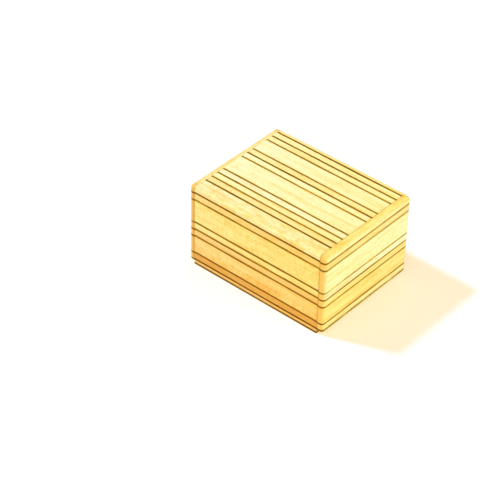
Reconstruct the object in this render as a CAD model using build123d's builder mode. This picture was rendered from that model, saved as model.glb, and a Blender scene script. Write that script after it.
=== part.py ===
"""Small puzzle box of striped wood, with a sliding cover, lifting end panels and two hidden bolts.

Frame: millimetres, +X along the stripes towards the end that slides away with the lid, -Y the front,
+Z up, origin on the table under the middle of the box. The box is drawn closed, with both bolts drawn back.

Each outer panel is glued up from pale strips with thin dark lines between them. The right end panel
rides on the cover, and the left one on the case. Each lifts in a dovetail and then bares the peg of a bolt.
"""

import os

from build123d import *

# Outside of the box
LENGTH = 26.7
WIDTH = 20.4
HEIGHT = 14.9
FOOT_LIFT = 0.2  # table to the lower edge of the end panels
END_THICKNESS = 1.04
SIDE_THICKNESS = 1.1
LID_THICKNESS = 0.91

# Striping: a dark line follows each strip, and the pitches run from line to line
LINE_WIDTH = 0.28
NARROW_PITCH = 1.335
MEDIUM_PITCH = 3.25
WIDE_PITCH = 4.28
LID_FIRST_LINE = 2.5  # front edge of the lid to its first line
END_LINE_DROP = 0.12  # lines of the end panels below those of the long sides
LAST_STRIP_MIN = 0.3  # narrowest strip left at the far edge of a panel

# Rounding
END_CORNER_RADIUS = 0.7
END_EDGE_RADIUS = 0.6
LID_EDGE_RADIUS = 0.5
SIDE_FOOT_RADIUS = 0.1

# Case inside the panels
BOTTOM_THICKNESS = 1.2
INNER_WALL = 1.0
END_WALL = 1.2
TRACK_PLATE = 0.8

# Runners under the lid
RUNNER_DEPTH = 1.45
RUNNER_WIDTH = 1.2
TONGUE_HEIGHT = 0.5
TONGUE_REACH = 0.5
TONGUE_LIFT = 0.2  # underside of the runner to underside of its tongue

# Dovetails of the end panels
DOVETAIL_MOUTH = 2.4
DOVETAIL_FLARE = 0.4  # widening on each side, over the track plate's thickness
DOVETAIL_SILL = 2.1  # top of the bottom board to the lower end of the dovetail
PANEL_LIFT = 3.0

# Bolts and their pegs
BOLT_THICKNESS = 0.7
BOLT_WIDTH = 1.8
BAR_HEIGHT = 1.2
BAR_BACK_MARGIN = 2.02  # rear end of the lid's end board to the bar
BAR_LIFT = 0.4  # top of the bottom board to the bar
BOLT_LIFT = 0.2  # top of the bottom board to the upright bolt
BOLT_TRAVEL = 0.9
PEG_SIZE = 1.0
PEG_RECESS = 0.1  # tip of the peg behind the outer face of its track plate
PEG_OFFSET = 4.5  # middle of the box to the pegs, towards the front

# Clearances
SLIDE_GAP = 0.06
LID_GAP = 0.05
STOP_GAP = 0.1

# Places worked out from the sizes above
half_width = WIDTH / 2
end_inner = LENGTH / 2 - END_THICKNESS
core_half = end_inner - SLIDE_GAP
along = (-core_half, core_half)
side_inner = half_width - SIDE_THICKNESS
wall_inner = side_inner - INNER_WALL
cover_half = wall_inner - SLIDE_GAP
track_back = core_half - TRACK_PLATE
cavity_end = track_back - END_WALL

lid_under = HEIGHT - LID_THICKNESS
side_top = lid_under - LID_GAP
runner_bottom = lid_under - RUNNER_DEPTH
track_top = runner_bottom - STOP_GAP
cover_bottom = BOTTOM_THICKNESS + SLIDE_GAP
tongue_bottom = runner_bottom + TONGUE_LIFT
tongue_top = tongue_bottom + TONGUE_HEIGHT

dovetail_bottom = BOTTOM_THICKNESS + DOVETAIL_SILL
key_bottom = dovetail_bottom + STOP_GAP
key_top = track_top - PANEL_LIFT

bolt_outer = track_back - SLIDE_GAP
bolt_inner = bolt_outer - BOLT_THICKNESS
bolt_bottom = BOTTOM_THICKNESS + BOLT_LIFT
bar_bottom = BOTTOM_THICKNESS + BAR_LIFT
bar_front = SLIDE_GAP - cover_half
bar_back = cover_half - BAR_BACK_MARGIN
groove_inner = bolt_inner - SLIDE_GAP
peg_tip = core_half - PEG_RECESS
peg_middle = bar_bottom + BAR_HEIGHT / 2

STRIP_RUN = [
    NARROW_PITCH,
    NARROW_PITCH,
    NARROW_PITCH,
    WIDE_PITCH,
    NARROW_PITCH,
    NARROW_PITCH,
    MEDIUM_PITCH,
]


def line_offsets(reach, start):
    """Distances of the dark lines from the first one, along the repeating run of strips."""
    offsets = [0.0]
    step = start
    while offsets[-1] + STRIP_RUN[step % len(STRIP_RUN)] < reach:
        offsets.append(offsets[-1] + STRIP_RUN[step % len(STRIP_RUN)])
        step += 1
    return offsets


def upright_lines(first, foot):
    """Heights of the lines on an upright panel, from the first one down to the foot of its last strip."""
    reach = first - foot - LAST_STRIP_MIN
    return [first - offset for offset in line_offsets(reach, 2)]


def lid_line_places():
    """Places of the lines across the lid, from front to back."""
    reach = WIDTH - LID_FIRST_LINE - LAST_STRIP_MIN
    return [LID_FIRST_LINE - half_width + offset for offset in line_offsets(reach, 0)]


def strips_of(panel, plane, centres):
    """The pale strips of a panel: all of it but the lines, which go through its thickness."""
    with BuildPart() as strips:
        add(panel.part)
        with BuildSketch(plane):
            with Locations(*[(0, centre) for centre in centres]):
                Rectangle(2 * LENGTH, LINE_WIDTH)
        extrude(amount=LENGTH, both=True, mode=Mode.SUBTRACT)
    return strips


def lines_of(panel, strips):
    """The dark lines of a panel: what the pale strips leave free."""
    with BuildPart() as lines:
        add(panel.part)
        add(strips.part, mode=Mode.SUBTRACT)
    return lines


def span_on(side, near, far):
    """The span between two distances from the middle of the box, on its positive or negative side."""
    return sorted((side * near, side * far))


def block(x_span, y_span, z_span):
    """A plain board that fills the given spans of x, y and z."""
    with BuildPart() as board:
        with BuildSketch(Plane.XY.offset(z_span[0])):
            with Locations(((x_span[0] + x_span[1]) / 2, (y_span[0] + y_span[1]) / 2)):
                Rectangle(x_span[1] - x_span[0], y_span[1] - y_span[0])
        extrude(amount=z_span[1] - z_span[0])
    return board


def cut_from(board, *cutters):
    """A board with the blocks that are given cut out of it."""
    with BuildPart() as piece:
        add(board.part)
        for cutter in cutters:
            add(cutter.part, mode=Mode.SUBTRACT)
    return piece


def side_panel(facing):
    """A long side between the end panels, down to the table, with its outer lower edge eased."""
    with BuildPart() as panel:
        add(block(along, span_on(facing, side_inner, half_width), (0, side_top)).part)
        foot = panel.edges().filter_by(Axis.X).group_by(Axis.Z)[0].sort_by(Axis.Y)
        fillet(foot[0] if facing < 0 else foot[-1], SIDE_FOOT_RADIUS)
    return panel


def end_panel(side):
    """An end panel over the whole end of the box, rounded at its corners and round its outer face."""
    with BuildPart() as panel:
        with BuildSketch(Plane.YZ.offset(side * end_inner)):
            with Locations((0, (FOOT_LIFT + HEIGHT) / 2)):
                RectangleRounded(WIDTH, HEIGHT - FOOT_LIFT, END_CORNER_RADIUS)
        extrude(amount=side * END_THICKNESS)
        faces = panel.faces().sort_by(Axis.X)
        fillet((faces[-1] if side > 0 else faces[0]).edges(), END_EDGE_RADIUS)
    return panel


def dovetail(side, outer_x, inner_x, z_span, gap):
    """A dovetail prism that widens towards the middle of the box, kept back by a gap at its flanks."""
    slope = DOVETAIL_FLARE / TRACK_PLATE
    outer_half = DOVETAIL_MOUTH / 2 + slope * (core_half - outer_x) - gap
    inner_half = DOVETAIL_MOUTH / 2 + slope * (core_half - inner_x) - gap
    with BuildPart() as prism:
        with BuildSketch(Plane.XY.offset(z_span[0])):
            with BuildLine():
                Polyline(
                    (side * outer_x, -outer_half),
                    (side * outer_x, outer_half),
                    (side * inner_x, inner_half),
                    (side * inner_x, -inner_half),
                    close=True,
                )
            make_face()
        extrude(amount=z_span[1] - z_span[0])
    return prism


def end_key(side):
    """The dovetail batten on the inner face of an end panel."""
    flank_gap = SLIDE_GAP * (1 + DOVETAIL_FLARE / TRACK_PLATE)
    return dovetail(side, end_inner, track_back + SLIDE_GAP, (key_bottom, key_top), flank_gap)


def track_plate(side, half_span, bottom, window):
    """A plate under an end panel, with the panel's dovetail track and a window for a peg."""
    plate = block(span_on(side, track_back, core_half), (-half_span, half_span), (bottom, track_top))
    track = dovetail(side, core_half, track_back, (dovetail_bottom, track_top), 0)
    return cut_from(plate, track, window)


def inner_wall(facing):
    """A long wall inside a side panel, grooved along its inner face for the lid's tongue."""
    groove_bed = cover_half + TONGUE_REACH + SLIDE_GAP
    groove_heights = (tongue_bottom - SLIDE_GAP, tongue_top + SLIDE_GAP)
    wall = block(along, span_on(facing, wall_inner, side_inner), (BOTTOM_THICKNESS, side_top))
    groove = block(along, span_on(facing, wall_inner, groove_bed), groove_heights)
    return cut_from(wall, groove)


def lid_runner(facing):
    """A batten under the lid, with a tongue along its outer face, drawn as one cross-section."""
    with BuildPart() as runner:
        with BuildSketch(Plane.YZ.offset(SLIDE_GAP - core_half)):
            with BuildLine():
                Polyline(
                    (facing * (cover_half - RUNNER_WIDTH), runner_bottom),
                    (facing * cover_half, runner_bottom),
                    (facing * cover_half, tongue_bottom),
                    (facing * (cover_half + TONGUE_REACH), tongue_bottom),
                    (facing * (cover_half + TONGUE_REACH), tongue_top),
                    (facing * cover_half, tongue_top),
                    (facing * cover_half, lid_under),
                    (facing * (cover_half - RUNNER_WIDTH), lid_under),
                    close=True,
                )
            make_face()
        extrude(amount=core_half - SLIDE_GAP + cavity_end, dir=(1, 0, 0))
    return runner


def around(middle, size, gap):
    """The span of a size about its middle, widened by a gap at both ends."""
    return (middle - size / 2 - gap, middle + size / 2 + gap)


# Case: bottom board, long sides and the walls inside them
bottom_board = block(along, (-side_inner, side_inner), (0, BOTTOM_THICKNESS))

foot_line = LINE_WIDTH / 2
side_lines = upright_lines(side_top - LINE_WIDTH / 2, LINE_WIDTH) + [foot_line]
front_panel = side_panel(-1)
front_strips = strips_of(front_panel, Plane.XZ, side_lines)
front_lines = lines_of(front_panel, front_strips)
back_panel = side_panel(1)
back_strips = strips_of(back_panel, Plane.XZ, side_lines)
back_lines = lines_of(back_panel, back_strips)

bar_pocket = block(
    (groove_inner, track_back),
    (-side_inner, bar_back + SLIDE_GAP),
    (bar_bottom - SLIDE_GAP, bar_bottom + BAR_HEIGHT + SLIDE_GAP),
)
front_inner_wall = cut_from(inner_wall(-1), bar_pocket)
back_inner_wall = inner_wall(1)

# Left end of the case: a wall with an upright channel for the bolt, and the panel's track plate
bolt_channel = block(
    (-track_back, -groove_inner),
    around(-PEG_OFFSET, BOLT_WIDTH, SLIDE_GAP),
    (BOTTOM_THICKNESS, track_top),
)
left_end_wall = cut_from(
    block((-track_back, -cavity_end), (-wall_inner, wall_inner), (BOTTOM_THICKNESS, track_top)),
    bolt_channel,
)
left_window = block(
    (-core_half, -track_back),
    around(-PEG_OFFSET, PEG_SIZE, SLIDE_GAP),
    (bolt_bottom - SLIDE_GAP, bolt_bottom + PEG_SIZE + BOLT_TRAVEL + SLIDE_GAP),
)
left_track_plate = track_plate(-1, wall_inner, BOTTOM_THICKNESS, left_window)

# Cover: lid, its runners and cleat, and the end board with the right track plate
with BuildPart() as lid_panel:
    add(block(along, (-half_width, half_width), (lid_under, HEIGHT)).part)
    top_edges = lid_panel.edges().filter_by(Axis.X).group_by(Axis.Z)[-1]
    fillet(top_edges, LID_EDGE_RADIUS)
lid_strips = strips_of(lid_panel, Plane.XY, lid_line_places())
lid_lines = lines_of(lid_panel, lid_strips)
lid_front_runner = lid_runner(-1)
lid_back_runner = lid_runner(1)

cleat_half = cover_half - RUNNER_WIDTH
bolt_mortise = block(
    (-bolt_outer - SLIDE_GAP, -groove_inner),
    around(-PEG_OFFSET, BOLT_WIDTH, SLIDE_GAP),
    (runner_bottom, track_top + BOLT_TRAVEL + STOP_GAP),
)
lid_left_cleat = cut_from(
    block((SLIDE_GAP - core_half, -cavity_end), (-cleat_half, cleat_half), (runner_bottom, lid_under)),
    bolt_mortise,
)
lid_end_board = cut_from(
    block((cavity_end, track_back), (-cover_half, cover_half), (cover_bottom, lid_under)),
    bar_pocket,
)
right_window = block(
    (track_back, core_half),
    (-PEG_OFFSET - PEG_SIZE / 2 - BOLT_TRAVEL - SLIDE_GAP, -PEG_OFFSET + PEG_SIZE / 2 + SLIDE_GAP),
    around(peg_middle, PEG_SIZE, SLIDE_GAP),
)
right_track_plate = track_plate(1, cover_half, cover_bottom, right_window)
right_stop_batten = block((track_back, core_half), (-cover_half, cover_half), (runner_bottom, lid_under))

# End panels with their dovetail keys
end_lines = upright_lines(side_top - LINE_WIDTH / 2 - END_LINE_DROP, FOOT_LIFT)
right_panel = end_panel(1)
right_end_strips = strips_of(right_panel, Plane.XZ, end_lines)
right_end_lines = lines_of(right_panel, right_end_strips)
right_end_key = end_key(1)
left_panel = end_panel(-1)
left_end_strips = strips_of(left_panel, Plane.XZ, end_lines)
left_end_lines = lines_of(left_panel, left_end_strips)
left_end_key = end_key(-1)

# Bolts: an upright one in the left end wall, and a level bar in the lid's end board
left_bolt = block(
    (-bolt_outer, -bolt_inner),
    around(-PEG_OFFSET, BOLT_WIDTH, 0),
    (bolt_bottom, track_top),
)
left_bolt_peg = block(
    (-peg_tip, -bolt_outer),
    around(-PEG_OFFSET, PEG_SIZE, 0),
    (bolt_bottom, bolt_bottom + PEG_SIZE),
)
right_bar = block(
    (bolt_inner, bolt_outer),
    (bar_front, bar_back),
    (bar_bottom, bar_bottom + BAR_HEIGHT),
)
right_bar_peg = block(
    (bolt_outer, peg_tip),
    around(-PEG_OFFSET, PEG_SIZE, 0),
    around(peg_middle, PEG_SIZE, 0),
)

pieces = {
    "bottom_board": bottom_board,
    "front_strips": front_strips,
    "front_lines": front_lines,
    "back_strips": back_strips,
    "back_lines": back_lines,
    "front_inner_wall": front_inner_wall,
    "back_inner_wall": back_inner_wall,
    "left_end_wall": left_end_wall,
    "left_track_plate": left_track_plate,
    "lid_strips": lid_strips,
    "lid_lines": lid_lines,
    "lid_front_runner": lid_front_runner,
    "lid_back_runner": lid_back_runner,
    "lid_left_cleat": lid_left_cleat,
    "lid_end_board": lid_end_board,
    "right_track_plate": right_track_plate,
    "right_stop_batten": right_stop_batten,
    "right_end_strips": right_end_strips,
    "right_end_lines": right_end_lines,
    "right_end_key": right_end_key,
    "left_end_strips": left_end_strips,
    "left_end_lines": left_end_lines,
    "left_end_key": left_end_key,
    "left_bolt": left_bolt,
    "left_bolt_peg": left_bolt_peg,
    "right_bar": right_bar,
    "right_bar_peg": right_bar_peg,
}

os.makedirs("parts", exist_ok=True)
for node, piece in pieces.items():
    piece.part.label = node
    export_step(piece.part, f"parts/{node}.step")
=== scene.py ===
"""Looks of a small striped puzzle box: glued-up panels, bare wood inside, a pale floor and soft light.

The five outer panels are made here as finer surfaces over the same boards: every pale strip and every dark
line is its own closed skin, with eased edges, hand-cut lines that waver a little and sunk glue joints.
The boards, runners, keys and bolts inside keep their own shapes and get bare wood.
"""

import math
from collections import namedtuple

import bpy
import numpy as np
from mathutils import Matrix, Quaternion, Vector


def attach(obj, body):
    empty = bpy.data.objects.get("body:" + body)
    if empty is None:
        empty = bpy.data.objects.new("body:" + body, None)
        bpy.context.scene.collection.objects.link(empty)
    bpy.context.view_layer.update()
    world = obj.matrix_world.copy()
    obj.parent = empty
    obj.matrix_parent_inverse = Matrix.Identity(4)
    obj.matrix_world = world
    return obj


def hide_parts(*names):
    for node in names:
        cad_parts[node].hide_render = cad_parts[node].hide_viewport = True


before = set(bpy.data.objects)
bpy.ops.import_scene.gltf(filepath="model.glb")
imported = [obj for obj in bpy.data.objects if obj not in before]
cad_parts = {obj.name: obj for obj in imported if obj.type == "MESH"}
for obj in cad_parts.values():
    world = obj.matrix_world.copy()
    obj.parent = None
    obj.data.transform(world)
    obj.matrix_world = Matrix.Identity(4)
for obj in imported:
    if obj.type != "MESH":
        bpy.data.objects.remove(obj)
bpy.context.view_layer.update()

MM = 0.001
X, Y, Z = 0, 1, 2

# Edges of the outer panels, in millimetres, and how far lid and sides reach on to close the left seam
END_CORNER_RADIUS = 0.7
END_EDGE_RADIUS = 0.6
LID_EDGE_RADIUS = 0.5
SIDE_FOOT_RADIUS = 0.03
EASED_EDGE = 0.025
LEFT_CLOSES = 0.045

# Dark lines and glue joints, in millimetres, with the swell as a share of a line's width
LINE_BREAK = 0.3
LINE_WAVER = 0.015
LINE_SWELL = 0.10
NO_STRIP = 0.03
GLUE_DEPTH = 0.014
GLUE_REACH = 0.045

# Waver of a line: the shares of its three waves, and the least and greatest length of each, in millimetres
WAVE_SHARES = (0.55, 0.3, 0.15)
LEAST_WAVES = (14, 7, 3.2)
GREATEST_WAVES = (22, 11, 4.6)

# Steps between the seeds of a panel's lines, and from the seed of a line's waver to that of its swell
LINE_SEEDS = 10
SWELL_SEED = 5

# Grid of a skin, in millimetres: its cells, the rows behind a rounded end and the decimals of its places
CELL_ALONG = 0.55
CELL_ACROSS = 0.3
SHOULDER = (0.08, 0.18, 0.32)
BAND_DIGITS = 3
GRID_DIGITS = 5

# Steps round a rounded edge, and the angle in degrees from which an edge is sharp
ROUND_STEPS = 8
SHARP_EDGE = 40.0

# Grain, in millimetres: its shift from strip to strip, and how far outside a strip its growth ring can lie
GRAIN_SHIFT = 60
RING_OUTSIDE = 1.5

# The one strip with long streaks, and the place of its growth ring in millimetres
STREAKED_STRIP = ("lid", 0)
STREAKED_RING = -8.8

# Creep of the stain and of the painted shade in seams: its reach in millimetres from a seam or a glue joint,
# and its shares round an end panel
SEAM_STAIN_AND_SHADE_REACH = 0.16
BLEED_REACH = 0.09
RIM_PALER = 0.6
SEAM_STAIN_AND_SHADE_AT_RIM = 0.35
SEAM_STAIN_AND_SHADE_AT_END = 0.65
CREVICE_SHADE_DEEPENS = 1.8

# Names of the shares, and of the distance from a growth ring, that a skin's points carry for its material
SHARES = ("curl", "streak", "ring", "end_grain", "rim", "seam", "bleed")

# Tones of the wood, as linear colours
IVORY = (0.95, 0.94, 0.66)
CREAM = (0.95, 0.93, 0.55)
VANILLA = (0.95, 0.91, 0.56)
STRAW = (0.95, 0.89, 0.46)
WHEAT = (0.95, 0.83, 0.40)
BUTTER = (0.95, 0.82, 0.32)
FLAX = (0.95, 0.76, 0.31)
GOLD = (0.95, 0.82, 0.305)
AMBER = (0.95, 0.72, 0.265)
APRICOT = (0.92, 0.675, 0.25)
OCHRE = (0.86, 0.59, 0.21)
HONEY = (0.80, 0.45, 0.09)
BISTRE = (0.15, 0.050, 0.001)
UMBER = (0.20, 0.075, 0.004)
RUSSET = (0.29, 0.125, 0.008)
CHESTNUT = (0.32, 0.155, 0.014)
SIENNA = (0.40, 0.185, 0.012)
FAWN = (0.40, 0.28, 0.050)
TAN = (0.48, 0.36, 0.085)
END_GRAIN = (0.91, 0.58, 0.13)
BARE = (0.86, 0.70, 0.39)
WALNUT = (0.24, 0.125, 0.055)

# Stain in a panel's end grain, top rim and beside its lines, stain and painted shade on its turned edges and
# in its seams, and painted light falloff along it
Stain = namedtuple("Stain", "ends rim turn seams bleed age")

# Painted light falloff: yellowing from the middle to the far end of a panel whose falloff is one, for each
# colour
PAINTED_FALLOFF = (0.0, 0.02, 0.13)

# Tones and curl of a panel's pieces, from front to back on the lid and from bottom to top elsewhere
NO_CURL = [0.0]
Dress = namedtuple("Dress", "strips lines curl stain")
LID_DRESS = Dress(
    strips=[VANILLA, WHEAT, STRAW, IVORY, CREAM, CREAM, STRAW, CREAM, STRAW, STRAW, WHEAT],
    lines=[BISTRE, RUSSET, RUSSET, RUSSET, SIENNA, BISTRE, RUSSET, RUSSET, UMBER, BISTRE],
    curl=[0.6, 0.3, 0.2, 0.2, 0.35, 0.2, 0.3, 0.3, 0.2, 0.3, 0.3],
    stain=Stain(ends=0.35, rim=0.0, turn=0.0, seams=0.35, bleed=1.0, age=1.0),
)
SIDE_DRESS = Dress(
    strips=[OCHRE, HONEY, AMBER, APRICOT, BUTTER, GOLD, AMBER],
    lines=[UMBER, BISTRE, UMBER, UMBER, UMBER, UMBER, RUSSET, UMBER],
    curl=[0.3, 0.5, 1.3, 0.4, 0.3, 1.8, 0.4],
    stain=Stain(ends=0.6, rim=0.0, turn=0.0, seams=0.6, bleed=1.4, age=1.3),
)
RIGHT_DRESS = Dress(
    strips=[IVORY, STRAW, GOLD, BUTTER, IVORY, CREAM, FLAX, STRAW],
    lines=[FAWN, CHESTNUT, SIENNA, CHESTNUT, TAN, FAWN, CHESTNUT],
    curl=[0.2, 0.2, 0.4, 0.3, 0.2, 0.4, 0.3, 0.3],
    stain=Stain(ends=1.0, rim=1.0, turn=0.0, seams=1.0, bleed=0.8, age=-0.5),
)
LEFT_DRESS = RIGHT_DRESS._replace(
    strips=[CREAM, STRAW, GOLD, BUTTER, IVORY, CREAM, STRAW, CREAM],
    stain=Stain(ends=1.1, rim=0.0, turn=0.6, seams=0.35, bleed=0.8, age=0.0),
)

# Figure of the wood: its waves to the millimetre, the levels between which it sets in, and its tint
Noise = namedtuple("Noise", "along across detail distortion", defaults=[0.0])
Figure = namedtuple("Figure", "noise levels tint")
FIBRES = Figure(Noise(0.22, 4.2, 4.0, 0.3), (0.44, 0.62), (0.975, 0.91, 0.76))
GROWTH_STREAKS = Figure(Noise(0.035, 1.3, 4.0, 0.5), (0.48, 0.68), (0.985, 0.92, 0.78))
MOTTLE = Figure(Noise(0.2, 0.5, 2.0, 0.4), (0.52, 0.74), (0.985, 0.91, 0.76))
PORES = Figure(Noise(1.7, 5.5, 2.0), (0.56, 0.68), (0.95, 0.83, 0.60))
RIPPLES = Figure(Noise(1.7, 1.1, 3.0, 0.5), (0.40, 0.66), (0.97, 0.86, 0.60))
LONG_STREAKS = Figure(Noise(0.45, 1.8, 3.0, 1.2), (0.46, 0.62), (0.985, 0.86, 0.54))
PATCHES = Figure(Noise(0.13, 0.34, 2.0, 0.6), (0.54, 0.74), (0.985, 0.80, 0.50))
GROWTH_RING = Figure(Noise(0.25, 0.5, 2.0), (0.34, 0.62), (0.96, 0.78, 0.48))
PALE_VENEER = Figure(Noise(0.22, 0.6, 3.0, 0.3), (0.44, 0.66), (1.6, 1.75, 2.0))
DARK_DASHES = Figure(Noise(1.8, 6.0, 2.0), (0.50, 0.66), (0.56, 0.50, 0.44))

# Noise that swells, bends, flecks or shades another figure, and what its levels give
SWELLS = Noise(0.06, 1.3, 2.0)
RING_WANDER = Noise(0.10, 0.5, 2.0)
END_FLECKS = Noise(1.1, 0.9, 3.0)
BLOTCHES = Noise(0.05, 0.12, 2.0)
MIDDLE_NOISE = 0.5
FLECK_LEVELS = (0.3, 0.7)
FLECK_SHARES = (0.8, 1.4)
BLOTCH_SHADES = (0.90, 1.08)

# Growth ring, in millimetres: its wander, its fading edge and the stretch where curl changes its share
RING_WANDERS = 0.6
RING_FADES = (0.02, 0.18)
CURL_TURNS = (0.2, -0.2)
CURL_SHARES = (0.4, 1.0)

# Tints of the stain on a rim, beside a line and on a line's own fibres and ends; of stain and painted shade
# in a seam, and of painted shade deep in it
RIM_TINT = (1.0, 0.96, 0.66)
SEAM_STAIN_AND_SHADE_TINT = (0.94, 0.75, 0.55)
DEEP_SEAM_SHADE_LEVELS = (0.4, 1.7)
DEEP_SEAM_SHADE_TINT = (0.76, 0.82, 1.1)
BLEED_TINT = (0.97, 0.78, 0.30)
LINE_FIBRE_TINT = (0.90, 0.86, 0.80)
LINE_END_TINT = (0.50, 0.42, 0.34)

# Surface of each finish, with its relief in millimetres and its gloss as the least and greatest roughness
Finish = namedtuple("Finish", "coat specular relief gloss")
STRIP_FINISH = Finish(coat=0.03, specular=0.22, relief=0.012, gloss=(0.34, 0.54))
LINE_FINISH = Finish(coat=0.0, specular=0.05, relief=0.008, gloss=(0.42, 0.60))
BOARD_FINISH = Finish(coat=0.0, specular=0.3, relief=0.02, gloss=(0.48, 0.70))
BOLT_FINISH = Finish(coat=0.0, specular=0.3, relief=0.02, gloss=(0.40, 0.60))
RELIEF_STRENGTH = 0.5
WOOD_IOR = 1.46
COAT_ROUGHNESS = 0.25

# Camera, as read from the photograph's perspective, in millimetres and degrees, with its clipping in metres
CAMERA_PLACE = (143.58, -181.72, 189.62)
CAMERA_AIM = (-2.10, -8.97, 7.45)
CAMERA_ROLL = 1.395
CAMERA_LENS = 138.15
SENSOR_WIDTH = 36.0
CLIP_START = 0.01
CLIP_END = 10.0

# Light: a cool key from the left, a fill on the right end, warm fills on front and back, and an even sky
Lamp = namedtuple("Lamp", "name source colour strength angle")
LAMPS = [
    Lamp("key_lamp", (-0.60, -0.227, 0.767), (0.86, 0.93, 1.0), strength=2.05, angle=6.0),
    Lamp("right_lamp", (0.95, 0.10, 0.26), (1.0, 0.94, 0.80), strength=1.75, angle=40.0),
    Lamp("front_lamp", (0.10, -0.92, 0.35), (1.0, 0.88, 0.62), strength=1.15, angle=80.0),
    Lamp("back_lamp", (-0.25, 0.90, 0.38), (1.0, 0.88, 0.66), strength=0.7, angle=80.0),
]
WIDE_LAMP = 20.0
SKY_COLOUR = (1.0, 0.94, 0.80)
SKY_STRENGTH = 0.31
WHITE = (1.0, 1.0, 1.0)

# Floor: its size in metres, the rows of its grid, and the colours that it throws back, shows and glows with
FLOOR_SIZE = 3.0
FLOOR_ROWS = 9
FLOOR_COLOUR = (0.92, 0.92, 0.92)
FLOOR_SEEN = (0.12, 0.50, 0.95)
FLOOR_GLOW = (0.92, 0.54, 0.145)

# Shade on the floor at the box's foot: its reach in metres, its levels and its tint
FOOT_SHADE = 0.00019
FOOT_LEVELS = (0.95, 0.5)
FOOT_TINT = (0.50, 0.32, 0.10)

# Numbers of a colour mix's sockets: its share, its base, its second colour and its result
MIX_SHARE = 0
MIX_BASE = 6
MIX_SECOND = 7
MIX_RESULT = 2


# Surfaces

def node_points(node):
    """All corners of a CAD node's mesh, in millimetres."""
    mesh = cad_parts[node].data
    flat = np.empty(3 * len(mesh.vertices))
    mesh.vertices.foreach_get("co", flat)
    return flat.reshape(-1, 3) / MM


def line_bands(node, axis):
    """Spans of a panel's dark lines along an axis: a gap wider than a line parts one from the next."""
    places = np.unique(np.round(node_points(node)[:, axis], BAND_DIGITS))
    breaks = np.flatnonzero(np.diff(places) > LINE_BREAK) + 1
    return [(group[0], group[-1]) for group in np.split(places, breaks)]


def quarter_round(reach, radius):
    """Depth lost at a distance from an edge that is rounded to a quarter circle of the given radius."""
    short = np.clip(radius - reach, 0, radius)
    return radius - np.sqrt(radius ** 2 - short ** 2)


def graded(low, high, low_round, high_round, cell, shoulder=()):
    """Places from low to high: even in angle round each rounded edge, a few more on the shoulder behind it,
    and even in length between the shoulders."""
    rise = 1 - np.cos(np.linspace(0, math.pi / 2, ROUND_STEPS + 1))
    start = low + low_round
    stop = high - high_round
    count = max(2, int(math.ceil((stop - start) / cell)) + 1)
    parts = [
        low + low_round * rise,
        start + np.array(shoulder),
        np.linspace(start, stop, count),
        stop - np.array(shoulder),
        high - high_round * rise,
    ]
    return np.unique(np.round(np.clip(np.concatenate(parts), low, high), GRID_DIGITS))


def waver(along, seed):
    """A slow seeded wave along a line, the sum of three sines of unlike length, between about -1 and 1."""
    draw = np.random.default_rng(seed)
    phases = draw.uniform(0, 2 * math.pi, 3)
    lengths = draw.uniform(LEAST_WAVES, GREATEST_WAVES)
    waves = np.sin(2 * math.pi * along[:, None] / lengths + phases)
    return (np.array(WAVE_SHARES) * waves).sum(axis=1)


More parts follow.
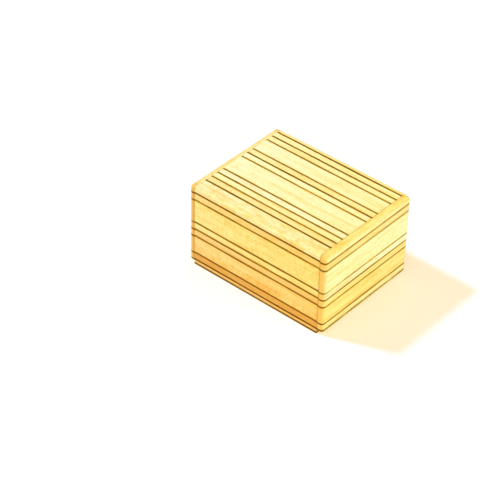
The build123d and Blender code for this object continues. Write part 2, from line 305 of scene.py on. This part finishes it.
class Panel:
    """A glued-up board: its two plane axes and the axis it faces along, 1 or -1 for the way it faces, its
    box, the rounding of its edges, and its dress of tones, stain, painted shade and painted light falloff."""

    def __init__(self, name, body, axes, facing, rounds, corner, dress, seed):
        self.name = name
        self.body = body
        self.along, self.across, self.out = axes
        self.facing = facing
        self.end_round, self.low_round, self.high_round = rounds
        self.corner = corner
        self.dress = dress
        self.seed = seed
        points = np.concatenate([node_points(f"{name}_strips"), node_points(f"{name}_lines")])
        low = points.min(axis=0)
        high = points.max(axis=0)
        if self.along == X:
            low[X] -= LEFT_CLOSES
        self.middle = (low[self.along] + high[self.along]) / 2
        self.half = (high[self.along] - low[self.along]) / 2
        self.low = low[self.across]
        self.high = high[self.across]
        self.thick = high[self.out] - low[self.out]
        self.base = low[self.out] if facing > 0 else high[self.out]

    def joints(self, places):
        """Edges of all strips and lines across the panel: each line wavers, and its width swells and thins,
        except where it lies along the panel's own edge."""
        edges = [np.full_like(places, self.low)]
        for number, (low, high) in enumerate(line_bands(f"{self.name}_lines", self.across)):
            seed = self.seed + LINE_SEEDS * number
            middle = (low + high) / 2 + LINE_WAVER * waver(places, seed)
            half_width = (high - low) / 2 * (1 + LINE_SWELL * waver(places, seed + SWELL_SEED))
            at_low = low - self.low < NO_STRIP
            at_high = self.high - high < NO_STRIP
            edges.append(np.full_like(places, self.low) if at_low else middle - half_width)
            edges.append(np.full_like(places, self.high) if at_high else middle + half_width)
        edges.append(np.full_like(places, self.high))
        return edges

    def spans(self, kind, places):
        """Pairs of edges of the panel's strips or of its lines. They take turns across the panel, the strips
        first, and a strip without width beside a line at the panel's edge is left out."""
        edges = self.joints(places)
        first = 0 if kind == "strips" else 1
        pairs = zip(edges[first:-1:2], edges[first + 1::2])
        return [(low, high) for low, high in pairs if (high - low).mean() > NO_STRIP]

    def reach_along(self, across):
        """Half the panel's length at a height: the outline is a rectangle with round corners."""
        past = np.maximum(self.low - across, across - self.high) + self.corner
        past = np.clip(past, 0, self.corner)
        return self.half - self.corner + np.sqrt(self.corner ** 2 - past ** 2)

    def depth(self, along, across):
        """Height of the outer face: the board's thickness less the quarter rounds of its edges. With round
        corners the rounding follows the distance from the outline, and otherwise each edge has its own."""
        low = across - self.low
        high = self.high - across
        end = self.half - np.abs(along)
        if not self.corner:
            sides = quarter_round(low, self.low_round) + quarter_round(high, self.high_round)
            return self.thick - sides - quarter_round(end, self.end_round)
        side = np.minimum(low, high)
        past_end = np.clip(self.corner - end, 0, None)
        past_side = np.clip(self.corner - side, 0, None)
        in_corner = (past_end > 0) & (past_side > 0)
        inside = np.where(in_corner, self.corner - np.hypot(past_end, past_side), np.minimum(end, side))
        return self.thick - quarter_round(np.clip(inside, 0, None), self.end_round)

    def world(self, along, across, out):
        """Points of the panel in the box's frame, in metres."""
        points = np.empty(along.shape + (3,))
        points[..., self.along] = self.middle + along
        points[..., self.across] = across
        points[..., self.out] = self.base + self.facing * out
        return points * MM

    def turned(self):
        """Whether along, across and out make a left-handed set, so that faces have to be turned round."""
        axes = np.eye(3)[[self.along, self.across, self.out]]
        return self.facing * np.linalg.det(axes) < 0


def skin_faces(rows, columns):
    """Quads of a closed skin of two grids, the outer one first: both faces, two long sides and two ends."""
    index = np.arange(rows * columns).reshape(rows, columns)
    under = index + rows * columns

    def quads(*corners):
        """Rows of four corners, one row for each face."""
        return np.stack([corner.ravel() for corner in corners], axis=1)

    return np.concatenate([
        quads(index[:-1, :-1], index[1:, :-1], index[1:, 1:], index[:-1, 1:]),
        quads(under[:-1, :-1], under[:-1, 1:], under[1:, 1:], under[1:, :-1]),
        quads(index[:-1, 0], under[:-1, 0], under[1:, 0], index[1:, 0]),
        quads(index[:-1, -1], index[1:, -1], under[1:, -1], under[:-1, -1]),
        quads(index[0, :-1], index[0, 1:], under[0, 1:], under[0, :-1]),
        quads(index[-1, :-1], under[-1, :-1], under[-1, 1:], index[-1, 1:]),
    ])


def strip_grid(panel, places, low_edge, high_edge):
    """One strip or line as a grid between its two wavering edges: along, across, distance from its nearer
    glue joint, and height of the outer face, which is sunk by a bell curve along those joints."""
    low_round = panel.low_round if low_edge.max() <= panel.low else 0.0
    high_round = panel.high_round if high_edge.min() >= panel.high else 0.0
    shoulder = (GLUE_REACH / 2, GLUE_REACH, 2 * GLUE_REACH)
    spread = graded(low_edge.mean(), high_edge.mean(), low_round, high_round, CELL_ACROSS, shoulder)
    share = (spread - spread[0]) / (spread[-1] - spread[0])
    across = low_edge[:, None] + share * (high_edge - low_edge)[:, None]
    along = places[:, None] / panel.half * panel.reach_along(across)
    to_joint = np.full_like(across, panel.half)
    if not low_round:
        to_joint = np.minimum(to_joint, across - low_edge[:, None])
    if not high_round:
        to_joint = np.minimum(to_joint, high_edge[:, None] - across)
    sunk = GLUE_DEPTH * np.exp(-(to_joint / GLUE_REACH) ** 2)
    height = np.maximum(panel.depth(along, across) - sunk, 0)
    return along, across, to_joint, height


def stain_and_shade_shares(panel, along, across, to_joint, inner):
    """How far stain, and painted shade in the seams, have crept into one face of a strip. End grain and an
    end panel's top rim fall evenly to nothing over the edge's rounding. The seam at the right end of the lid
    and sides, stain and painted shade, and the bleed beside a glue joint are bell curves of the distance. The
    inner face also has a seam of stain and painted shade, in step with rim and ends."""
    stain = panel.dress.stain
    reach = panel.reach_along(across)
    rim = np.clip(1 - (panel.high - across) / panel.end_round, 0, 1) * bool(panel.corner)
    end_grain = np.clip(1 - (reach - np.abs(along)) / panel.end_round, 0, 1) * (1 - RIM_PALER * rim)
    # Seam: stain and painted shade, darker toward the crevice between panels and darker still on the inner
    # face
    right_seam_stain_and_shade = np.exp(-((reach - along) / SEAM_STAIN_AND_SHADE_REACH) ** 2) * (not panel.corner)
    seam = np.maximum(right_seam_stain_and_shade, inner * (SEAM_STAIN_AND_SHADE_AT_RIM * rim + SEAM_STAIN_AND_SHADE_AT_END * end_grain))
    crevice_stain_and_shade = end_grain * (1 + CREVICE_SHADE_DEEPENS * inner)
    # On the left end the turned share lays stain and painted shade on its outer rim and in its crevice
    return {
        "end_grain": stain.ends * end_grain + stain.turn * rim * (1 - inner),
        "rim": stain.rim * rim,
        "seam": np.maximum(stain.seams * seam, stain.turn * crevice_stain_and_shade),
        "bleed": stain.bleed * np.exp(-(to_joint / BLEED_REACH) ** 2),
    }


def falloff_tone(panel, along, tone):
    """A strip's tone at each of its points, with painted light falloff: it yellows in step with the panel's
    falloff and with the distance past the panel's middle, and pales as much on the other side."""
    painted_tone = np.ones(along.shape + (4,))
    # Painted light falloff: paler on one side of the panel's middle, yellower on the other
    painted_tone[..., :3] -= np.multiply.outer(panel.dress.stain.age * along / panel.half, PAINTED_FALLOFF)
    painted_tone[..., :3] *= tone
    return painted_tone


def panel_skins(panel, kind):
    """All strips or all lines of a panel as whole arrays: each one's outer and inner grid of points, with the
    wood's own coordinates, its tone with painted light falloff, its shares of stain and painted shade, and
    the faces between them."""
    places = graded(-panel.half, panel.half, panel.end_round, panel.end_round, CELL_ALONG, SHOULDER)
    tones = panel.dress.strips if kind == "strips" else panel.dress.lines
    curls = panel.dress.curl if kind == "strips" else NO_CURL
    draw = np.random.default_rng(panel.seed if kind == "strips" else panel.seed + 1)
    skins = {name: [] for name in ("points", "grain", "tone", *SHARES)}
    faces = []
    made = 0
    for number, (low_edge, high_edge) in enumerate(panel.spans(kind, places)):
        along, across, to_joint, height = strip_grid(panel, places, low_edge, high_edge)
        shift = draw.uniform(-GRAIN_SHIFT, GRAIN_SHIFT, 3)
        ring_place = draw.uniform(low_edge.mean() - RING_OUTSIDE, high_edge.mean() + RING_OUTSIDE)
        streaked = (panel.name, number) == STREAKED_STRIP
        if streaked:
            ring_place = STREAKED_RING
        for out, inner in ((height, 0), (np.zeros_like(height), 1)):
            skin = stain_and_shade_shares(panel, along, across, to_joint, inner)
            skin["points"] = panel.world(along, across, out)
            skin["grain"] = np.stack([along, across, out], axis=-1) + shift
            skin["tone"] = falloff_tone(panel, along, tones[number % len(tones)])
            skin["curl"] = np.full_like(along, curls[number % len(curls)])
            skin["streak"] = np.full_like(along, streaked)
            skin["ring"] = across - ring_place
            for name, values in skin.items():
                skins[name].append(values.reshape(along.size, -1))
        quads = skin_faces(*along.shape) + made
        faces.append(quads[:, ::-1] if panel.turned() else quads)
        made += 2 * along.size
    return {name: np.concatenate(parts) for name, parts in skins.items()}, np.concatenate(faces)


def mesh_piece(name, skins, faces):
    """A mesh object from whole arrays, smooth but for its sharp edges, with its wood attributes."""
    mesh = bpy.data.meshes.new(name)
    mesh.vertices.add(len(skins["points"]))
    mesh.vertices.foreach_set("co", skins["points"].ravel())
    mesh.loops.add(faces.size)
    mesh.loops.foreach_set("vertex_index", faces.ravel())
    mesh.polygons.add(len(faces))
    mesh.polygons.foreach_set("loop_start", np.arange(0, faces.size, 4))
    mesh.update(calc_edges=True)
    mesh.attributes.new("grain", "FLOAT_VECTOR", "POINT").data.foreach_set("vector", skins["grain"].ravel())
    mesh.attributes.new("tone", "FLOAT_COLOR", "POINT").data.foreach_set("color", skins["tone"].ravel())
    for share in SHARES:
        mesh.attributes.new(share, "FLOAT", "POINT").data.foreach_set("value", skins[share].ravel())
    mesh.polygons.foreach_set("use_smooth", np.ones(len(faces), dtype=bool))
    mesh.set_sharp_from_angle(angle=math.radians(SHARP_EDGE))
    piece = bpy.data.objects.new(name, mesh)
    bpy.context.scene.collection.objects.link(piece)
    return piece


# Coordinates that a wood's grain lies in, in millimetres, and the axis that it runs along
Grain = namedtuple("Grain", "coords axis")


# Shader steps

def add_node(tree, kind, inputs=None, **options):
    """A shader node with its options set and its inputs filled by values or linked to sockets."""
    made = tree.nodes.new(kind)
    for name, value in options.items():
        setattr(made, name, value)
    for name, value in (inputs or {}).items():
        if isinstance(value, bpy.types.NodeSocket):
            tree.links.new(value, made.inputs[name])
        else:
            made.inputs[name].default_value = value
    return made


def calc(tree, operation, *values):
    """One arithmetic step on values or sockets."""
    return add_node(tree, "ShaderNodeMath", dict(enumerate(values)), operation=operation).outputs[0]


def step(tree, value, low, high):
    """A smooth step of a value between two levels."""
    inputs = {"Value": value, "From Min": low, "From Max": high}
    return add_node(tree, "ShaderNodeMapRange", inputs, interpolation_type="SMOOTHSTEP").outputs["Result"]


def carried(tree, value, source, target):
    """A value carried evenly from one range to another, and held at the ends."""
    inputs = {"Value": value, "From Min": source[0], "From Max": source[1]}
    inputs.update({"To Min": target[0], "To Max": target[1]})
    return add_node(tree, "ShaderNodeMapRange", inputs).outputs["Result"]


def read(tree, name, output="Fac"):
    """One of the piece's own attributes."""
    return add_node(tree, "ShaderNodeAttribute", attribute_name=name).outputs[output]


def stained(tree, share, base, tint):
    """The base colour multiplied by a tint, as far as the share says."""
    inputs = {MIX_SHARE: share, MIX_BASE: base}
    mix = add_node(tree, "ShaderNodeMix", inputs, data_type="RGBA", blend_type="MULTIPLY")
    mix.inputs[MIX_SECOND].default_value = (*tint, 1.0)
    return mix.outputs[MIX_RESULT]


def turned_to(tree, share, base, tone):
    """The base colour mixed with a tone, as far as the share says."""
    mix = add_node(tree, "ShaderNodeMix", {MIX_SHARE: share, MIX_BASE: base}, data_type="RGBA")
    mix.inputs[MIX_SECOND].default_value = (*tone, 1.0)
    return mix.outputs[MIX_RESULT]


def grain_noise(tree, grain, noise):
    """Noise drawn out along the grain: so many waves to the millimetre along it and across it."""
    waves = [noise.across, noise.across, noise.across]
    waves[grain.axis] = noise.along
    stretched = add_node(tree, "ShaderNodeVectorMath", {0: grain.coords, 1: waves}, operation="MULTIPLY")
    inputs = {"Vector": stretched.outputs[0], "Scale": 1.0}
    inputs.update({"Detail": noise.detail, "Distortion": noise.distortion})
    return add_node(tree, "ShaderNodeTexNoise", inputs).outputs["Fac"]


def figured(tree, grain, figure, base, strength=None):
    """The base colour stained by a figure's tint where its noise is high, as far as the strength says."""
    share = step(tree, grain_noise(tree, grain, figure.noise), *figure.levels)
    if strength is not None:
        share = calc(tree, "MULTIPLY", share, strength)
    return stained(tree, share, base, figure.tint)


# Materials

def new_material(name, coat=0.0, specular=0.0):
    """An empty material with its main shader, whose even values sit on the shader's own sockets."""
    material = bpy.data.materials.new(name)
    material.use_nodes = True
    tree = material.node_tree
    shader = tree.nodes["Principled BSDF"]
    shader.inputs["IOR"].default_value = WOOD_IOR
    shader.inputs["Specular IOR Level"].default_value = specular
    shader.inputs["Coat Weight"].default_value = coat
    shader.inputs["Coat Roughness"].default_value = COAT_ROUGHNESS
    return material, tree, shader


def wood_surface(tree, shader, grain, finish):
    """Fine relief and uneven gloss of planed wood, both from its fibres."""
    fibres = grain_noise(tree, grain, FIBRES.noise)
    height = calc(tree, "ADD", fibres, grain_noise(tree, grain, SWELLS))
    inputs = {"Strength": RELIEF_STRENGTH, "Distance": finish.relief * MM, "Height": height}
    relief = add_node(tree, "ShaderNodeBump", inputs)
    tree.links.new(relief.outputs["Normal"], shader.inputs["Normal"])
    tree.links.new(carried(tree, fibres, (0.0, 1.0), finish.gloss), shader.inputs["Roughness"])
    return fibres


def wood_figure(tree, grain, fibres, base):
    """Colour of plain wood: long growth streaks, soft mottling, fibres and short dark pores."""
    colour = figured(tree, grain, GROWTH_STREAKS, base)
    colour = figured(tree, grain, MOTTLE, colour)
    colour = stained(tree, step(tree, fibres, *FIBRES.levels), colour, FIBRES.tint)
    return figured(tree, grain, PORES, colour)


def curled(tree, grain, off_ring, base):
    """Ripples across the grain and broad patches, weaker beyond the growth ring, and one strip's streaks."""
    curl = calc(tree, "MULTIPLY", read(tree, "curl"), carried(tree, off_ring, CURL_TURNS, CURL_SHARES))
    colour = figured(tree, grain, RIPPLES, base, curl)
    colour = figured(tree, grain, LONG_STREAKS, colour, read(tree, "streak"))
    return figured(tree, grain, PATCHES, colour, curl)


def ringed(tree, grain, base):
    """Curl and a growth ring: the ring lies where the distance from it is small. That distance wanders along
    the strip, and the ring fades in and out."""
    off_middle = calc(tree, "SUBTRACT", grain_noise(tree, grain, RING_WANDER), MIDDLE_NOISE)
    off_ring = calc(tree, "ADD", read(tree, "ring"), calc(tree, "MULTIPLY", off_middle, RING_WANDERS))
    colour = curled(tree, grain, off_ring, base)
    away = step(tree, calc(tree, "ABSOLUTE", off_ring), *RING_FADES)
    return figured(tree, grain, GROWTH_RING, colour, calc(tree, "SUBTRACT", 1.0, away))


def crept_stain_and_shade(tree, grain, base):
    """Stain and painted shade that have crept in: flecked end grain, a yellower rim, brown seams of stain and
    painted shade, and the bleed beside lines.
    """
    flecks = carried(tree, grain_noise(tree, grain, END_FLECKS), FLECK_LEVELS, FLECK_SHARES)
    colour = turned_to(tree, calc(tree, "MULTIPLY", read(tree, "end_grain"), flecks), base, END_GRAIN)
    colour = stained(tree, read(tree, "rim"), colour, RIM_TINT)
    # Seam: stain and painted shade, with more painted shade deep in it
    seam = read(tree, "seam")
    colour = stained(tree, seam, colour, SEAM_STAIN_AND_SHADE_TINT)
    colour = stained(tree, step(tree, seam, *DEEP_SEAM_SHADE_LEVELS), colour, DEEP_SEAM_SHADE_TINT)
    return stained(tree, read(tree, "bleed"), colour, BLEED_TINT)


def strip_wood():
    """Waxed pale wood of the glued-up strips: each has its own tone, with painted light falloff, and run of
    grain, curl and a growth ring, and stain and painted shade have crept into its ends and edges."""
    material, tree, shader = new_material("pale_strip_wood", STRIP_FINISH.coat, STRIP_FINISH.specular)
    grain = Grain(read(tree, "grain", "Vector"), X)
    fibres = wood_surface(tree, shader, grain, STRIP_FINISH)
    colour = wood_figure(tree, grain, fibres, read(tree, "tone", "Color"))
    colour = crept_stain_and_shade(tree, grain, ringed(tree, grain, colour))
    tree.links.new(colour, shader.inputs["Base Color"])
    return material


def line_wood():
    """Dark veneer of the thin lines: the stain takes unevenly along its length, and more at end grain."""
    material, tree, shader = new_material("dark_line_wood", LINE_FINISH.coat, LINE_FINISH.specular)
    grain = Grain(read(tree, "grain", "Vector"), X)
    fibres = wood_surface(tree, shader, grain, LINE_FINISH)
    colour = figured(tree, grain, PALE_VENEER, read(tree, "tone", "Color"))
    colour = figured(tree, grain, DARK_DASHES, colour)
    colour = stained(tree, fibres, colour, LINE_FIBRE_TINT)
    colour = stained(tree, read(tree, "end_grain"), colour, LINE_END_TINT)
    tree.links.new(colour, shader.inputs["Base Color"])
    return material


def board_wood(name, tone, axis, finish):
    """Bare planed wood on the object's own coordinates, blotched, with its grain along one axis."""
    material, tree, shader = new_material(name, finish.coat, finish.specular)
    coords = add_node(tree, "ShaderNodeTexCoord")
    in_mm = add_node(tree, "ShaderNodeVectorMath", {0: coords.outputs["Object"]}, operation="SCALE")
    in_mm.inputs["Scale"].default_value = 1 / MM
    grain = Grain(in_mm.outputs[0], axis)
    fibres = wood_surface(tree, shader, grain, finish)
    dark, pale = [tuple(shade * part for part in tone) for shade in BLOTCH_SHADES]
    base = turned_to(tree, grain_noise(tree, grain, BLOTCHES), (*dark, 1.0), pale)
    tree.links.new(wood_figure(tree, grain, fibres, base), shader.inputs["Base Color"])
    return material


# Outer panels
pale_strip = strip_wood()
dark_line = line_wood()
level = (X, Y, Z)
upright_long = (X, Z, Y)
upright_end = (Y, Z, X)
lid_rounds = (EASED_EDGE, LID_EDGE_RADIUS, LID_EDGE_RADIUS)
side_rounds = (EASED_EDGE, SIDE_FOOT_RADIUS, 0.0)
end_rounds = (END_EDGE_RADIUS, END_EDGE_RADIUS, END_EDGE_RADIUS)
for panel in (
    Panel("lid", "cover", level, 1, lid_rounds, 0.0, LID_DRESS, seed=100),
    Panel("front", "case", upright_long, -1, side_rounds, 0.0, SIDE_DRESS, seed=300),
    Panel("back", "case", upright_long, 1, side_rounds, 0.0, SIDE_DRESS, seed=500),
    Panel("right_end", "right_end", upright_end, 1, end_rounds, END_CORNER_RADIUS, RIGHT_DRESS, seed=700),
    Panel("left_end", "left_end", upright_end, -1, end_rounds, END_CORNER_RADIUS, LEFT_DRESS, seed=900),
):
    strips = mesh_piece(f"{panel.name}_glued_strips", *panel_skins(panel, "strips"))
    strips.data.materials.append(pale_strip)
    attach(strips, panel.body)
    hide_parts(f"{panel.name}_strips")
    lines = mesh_piece(f"{panel.name}_glued_lines", *panel_skins(panel, "lines"))
    lines.data.materials.append(dark_line)
    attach(lines, panel.body)
    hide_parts(f"{panel.name}_lines")

# Bare boards inside
long_boards = ["bottom_board", "front_inner_wall", "back_inner_wall", "lid_front_runner", "lid_back_runner"]
cross_boards = ["left_end_wall", "left_track_plate", "lid_left_cleat", "lid_end_board", "right_track_plate",
                "right_stop_batten"]
upright_pieces = ["right_end_key", "left_end_key", "left_bolt"]
level_pieces = ["right_bar", "right_bar_peg", "left_bolt_peg"]
for wood, nodes in (
    (board_wood("bare_wood_long", BARE, X, BOARD_FINISH), long_boards),
    (board_wood("bare_wood_cross", BARE, Y, BOARD_FINISH), cross_boards),
    (board_wood("bolt_wood_upright", WALNUT, Z, BOLT_FINISH), upright_pieces),
    (board_wood("bolt_wood_level", WALNUT, Y, BOLT_FINISH), level_pieces),
):
    for node in nodes:
        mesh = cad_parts[node].data
        mesh.materials.clear()
        mesh.materials.append(wood)


# Floor, light and camera

def seen_share(tree):
    """One for the rays that see the white background: the camera's own, reflected and transmitted ones."""
    path = add_node(tree, "ShaderNodeLightPath")
    mirrored = calc(tree, "MAXIMUM", path.outputs["Is Camera Ray"], path.outputs["Is Glossy Ray"])
    return calc(tree, "MAXIMUM", mirrored, path.outputs["Is Transmission Ray"])


def floor_finish():
    """White floor: matt for the light that it throws back, and where it is seen a white that is part glow, so
    that only its shadows show, as pale yellow, with a thin line of shade where a panel meets it."""
    material, tree, seen = new_material("pale_floor")
    seen.inputs["Roughness"].default_value = 1.0
    open_air = add_node(tree, "ShaderNodeAmbientOcclusion", {"Distance": FOOT_SHADE}).outputs["AO"]
    hidden = step(tree, open_air, *FOOT_LEVELS)
    tree.links.new(stained(tree, hidden, (*FLOOR_SEEN, 1.0), FOOT_TINT), seen.inputs["Base Color"])
    tree.links.new(stained(tree, hidden, (*FLOOR_GLOW, 1.0), FOOT_TINT), seen.inputs["Emission Color"])
    seen.inputs["Emission Strength"].default_value = 1.0
    matt = add_node(tree, "ShaderNodeBsdfDiffuse", {"Color": (*FLOOR_COLOUR, 1.0)})
    either = {0: seen_share(tree), 1: matt.outputs[0], 2: seen.outputs[0]}
    mix = add_node(tree, "ShaderNodeMixShader", either)
    tree.links.new(mix.outputs[0], tree.nodes["Material Output"].inputs["Surface"])
    return material


def make_floor():
    """A flat square grid under the box."""
    side = np.linspace(-FLOOR_SIZE / 2, FLOOR_SIZE / 2, FLOOR_ROWS)
    flat_x, flat_y = np.meshgrid(side, side, indexing="ij")
    points = np.stack([flat_x, flat_y, np.zeros_like(flat_x)], axis=-1).reshape(-1, 3)
    index = np.arange(flat_x.size).reshape(flat_x.shape)
    corners = [index[:-1, :-1], index[1:, :-1], index[1:, 1:], index[:-1, 1:]]
    quads = np.stack(corners, axis=-1).reshape(-1, 4)
    mesh = bpy.data.meshes.new("floor")
    mesh.from_pydata(points.tolist(), [], quads.tolist())
    mesh.materials.append(floor_finish())
    floor = bpy.data.objects.new("floor", mesh)
    bpy.context.scene.collection.objects.link(floor)


def make_sun(lamp):
    """A distant lamp that shines from a direction, with a soft edge as wide as its angle in degrees. Wide
    lamps only fill, and reflections don't show them."""
    light = bpy.data.lights.new(lamp.name, "SUN")
    light.color = lamp.colour
    light.energy = lamp.strength
    light.angle = math.radians(lamp.angle)
    holder = bpy.data.objects.new(lamp.name, light)
    holder.rotation_mode = "QUATERNION"
    holder.rotation_quaternion = Vector(lamp.source).to_track_quat("Z", "Y")
    holder.visible_glossy = lamp.angle < WIDE_LAMP
    bpy.context.scene.collection.objects.link(holder)


def make_sky():
    """Even warm light from all round, which is white where it is seen."""
    world = bpy.data.worlds.new("sky")
    world.use_nodes = True
    tree = world.node_tree
    light = tree.nodes["Background"]
    light.inputs["Color"].default_value = (*SKY_COLOUR, 1.0)
    light.inputs["Strength"].default_value = SKY_STRENGTH
    white = add_node(tree, "ShaderNodeBackground", {"Color": (*WHITE, 1.0), "Strength": 1.0})
    either = {0: seen_share(tree), 1: light.outputs[0], 2: white.outputs[0]}
    mix = add_node(tree, "ShaderNodeMixShader", either)
    tree.links.new(mix.outputs[0], tree.nodes["World Output"].inputs["Surface"])
    bpy.context.scene.world = world


def make_camera():
    """The photograph's point of view: a long lens from the front right, above, rolled a little."""
    lens = bpy.data.cameras.new("camera")
    lens.sensor_width = SENSOR_WIDTH
    lens.lens = CAMERA_LENS
    lens.clip_start = CLIP_START
    lens.clip_end = CLIP_END
    holder = bpy.data.objects.new("camera", lens)
    place = Vector(CAMERA_PLACE) * MM
    look = Vector(CAMERA_AIM) * MM - place
    roll = Quaternion((0, 0, 1), math.radians(CAMERA_ROLL))
    holder.location = place
    holder.rotation_mode = "QUATERNION"
    holder.rotation_quaternion = look.to_track_quat("-Z", "Y") @ roll
    bpy.context.scene.collection.objects.link(holder)
    bpy.context.scene.camera = holder


make_floor()
for lamp in LAMPS:
    make_sun(lamp)
make_sky()
make_camera()
bpy.context.scene.view_settings.view_transform = "Standard"
